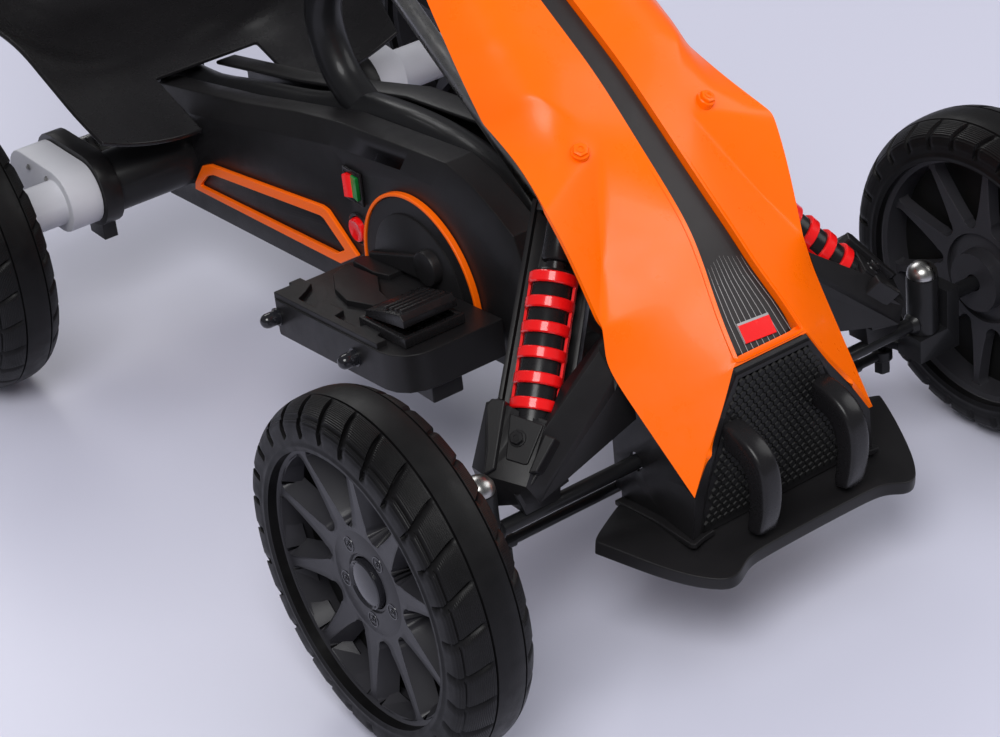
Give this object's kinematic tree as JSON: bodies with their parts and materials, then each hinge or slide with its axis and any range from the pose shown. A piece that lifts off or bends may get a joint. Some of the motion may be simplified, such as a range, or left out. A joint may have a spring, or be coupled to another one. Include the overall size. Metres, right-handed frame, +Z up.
{
  "type": "electric go-kart",
  "caption": "Child's electric go-kart: tube frame with moulded console, pointed nose fairing, bucket seat, steered front wheels and geared rear wheels.",
  "frame": {"origin": "on the ground below the middle of the kart's bounding box", "axes": "+Z up, the kart drives towards -Y, +X is the driver's left"},
  "size_m": [0.622, 1.0544, 0.5609],
  "materials": {
    "orange_plastic": "glossy",
    "black_plastic": "satin, fine grain",
    "gloss_black_steel": "gloss powder coat",
    "red_plastic": "glossy",
    "tyre_foam_rubber": "matt",
    "rim_plastic": "satin",
    "light_grey_nylon": "matt",
    "zinc_steel": "zinc plated",
    "stripe_grey": "satin"
  },
  "bodies": {
    "chassis": {"gearbox_housing_left": "black_plastic", "gearbox_cover_left": "light_grey_nylon", "motor_left": "zinc_steel", "bull_bar_left": "black_plastic", "shock_left": "black_plastic", "shock_cage_left": "red_plastic", "axle_cover_left": "black_plastic", "console_left": "black_plastic", "side_disc_left": "black_plastic", "disc_ring_left": "orange_plastic", "side_trim_left": "orange_plastic", "foot_platform_left": "black_plastic", "gearbox_housing_right": "black_plastic", "gearbox_cover_right": "light_grey_nylon", "motor_right": "zinc_steel", "bull_bar_right": "black_plastic", "shock_right": "black_plastic", "shock_cage_right": "red_plastic", "axle_cover_right": "black_plastic", "console_right": "black_plastic", "side_disc_right": "black_plastic", "disc_ring_right": "orange_plastic", "side_trim_right": "orange_plastic", "foot_platform_right": "black_plastic", "main_frame": "gloss_black_steel", "rear_axle": "zinc_steel", "nose_fairing": "orange_plastic", "nose_stripe": "stripe_grey", "nose_body": "black_plastic", "grille": "black_plastic", "splitter": "black_plastic", "rocker_bezel": "black_plastic", "pedal_base": "black_plastic", "seat": "black_plastic", "seat_bracket": "gloss_black_steel", "battery": "black_plastic", "controller": "black_plastic"},
    "wheel_front_left": {"tyre_front_left": "tyre_foam_rubber", "rim_front_left": "rim_plastic", "hub_cap_front_left": "black_plastic"},
    "wheel_rear_left": {"tyre_rear_left": "tyre_foam_rubber", "rim_rear_left": "rim_plastic", "hub_cap_rear_left": "black_plastic"},
    "knuckle_left": {"knuckle_left": "zinc_steel"},
    "tie_rod_left": {"tie_rod_left": "zinc_steel"},
    "wheel_front_right": {"tyre_front_right": "tyre_foam_rubber", "rim_front_right": "rim_plastic", "hub_cap_front_right": "black_plastic"},
    "wheel_rear_right": {"tyre_rear_right": "tyre_foam_rubber", "rim_rear_right": "rim_plastic", "hub_cap_rear_right": "black_plastic"},
    "knuckle_right": {"knuckle_right": "zinc_steel"},
    "tie_rod_right": {"tie_rod_right": "zinc_steel"},
    "steering": {"steering_shaft": "zinc_steel", "steering_wheel": "black_plastic", "steering_cap": "black_plastic"},
    "accelerator": {"accelerator_pedal": "black_plastic"},
    "rocker": {"rocker_switch": "red_plastic"},
    "button": {"power_button": "red_plastic"}
  },
  "joints": [
    {"name": "steer_left", "type": "hinge", "parent": "chassis", "child": "knuckle_left", "pos_m": [0.204, -0.39725, 0.13], "axis": [0, 0, 1], "range_deg": [-25, 25]},
    {"name": "spin_front_left", "type": "hinge", "parent": "knuckle_left", "child": "wheel_front_left", "pos_m": [0.281, -0.39725, 0.13], "axis": [1, 0, 0], "continuous": true},
    {"name": "spin_rear_left", "type": "hinge", "parent": "chassis", "child": "wheel_rear_left", "pos_m": [0.27, 0.26475, 0.13], "axis": [1, 0, 0], "continuous": true},
    {"name": "tie_rod_turn_left", "type": "hinge", "parent": "knuckle_left", "child": "tie_rod_left", "pos_m": [0.194, -0.36325, 0.081], "axis": [0, 0, 1], "range_deg": [-25, 25]},
    {"name": "steer_right", "type": "hinge", "parent": "chassis", "child": "knuckle_right", "pos_m": [-0.204, -0.39725, 0.13], "axis": [0, 0, 1], "range_deg": [-25, 25]},
    {"name": "spin_front_right", "type": "hinge", "parent": "knuckle_right", "child": "wheel_front_right", "pos_m": [-0.281, -0.39725, 0.13], "axis": [1, 0, 0], "continuous": true},
    {"name": "spin_rear_right", "type": "hinge", "parent": "chassis", "child": "wheel_rear_right", "pos_m": [-0.27, 0.26475, 0.13], "axis": [1, 0, 0], "continuous": true},
    {"name": "tie_rod_turn_right", "type": "hinge", "parent": "knuckle_right", "child": "tie_rod_right", "pos_m": [-0.194, -0.36325, 0.081], "axis": [0, 0, 1], "range_deg": [-25, 25]},
    {"name": "steering_turn", "type": "hinge", "parent": "chassis", "child": "steering", "pos_m": [0, -0.38323, 0.10851], "axis": [0, 0.809, 0.5878], "range_deg": [-25, 25]},
    {"name": "pedal_press", "type": "hinge", "parent": "chassis", "child": "accelerator", "pos_m": [-0.106, -0.15225, 0.1641], "axis": [1, 0, 0], "range_deg": [0, 6], "stiffness_Nm_per_rad": 0.6, "springref_deg": -8.59},
    {"name": "rocker_tilt", "type": "hinge", "parent": "chassis", "child": "rocker", "pos_m": [-0.0505, -0.02765, 0.2], "axis": [0, 0, -1], "range_deg": [0, 16]},
    {"name": "button_press", "type": "slide", "parent": "chassis", "child": "button", "axis": [1, 0, 0], "range_m": [0, 0.002], "stiffness_N_per_m": 300, "springref_m": -0.002}
  ],
  "couplings": [
    {"joint": "steer_left", "follows": "steering_turn", "ratio": 1},
    {"joint": "tie_rod_turn_left", "follows": "steering_turn", "ratio": -1},
    {"joint": "steer_right", "follows": "steering_turn", "ratio": 1},
    {"joint": "tie_rod_turn_right", "follows": "steering_turn", "ratio": -1}
  ]
}
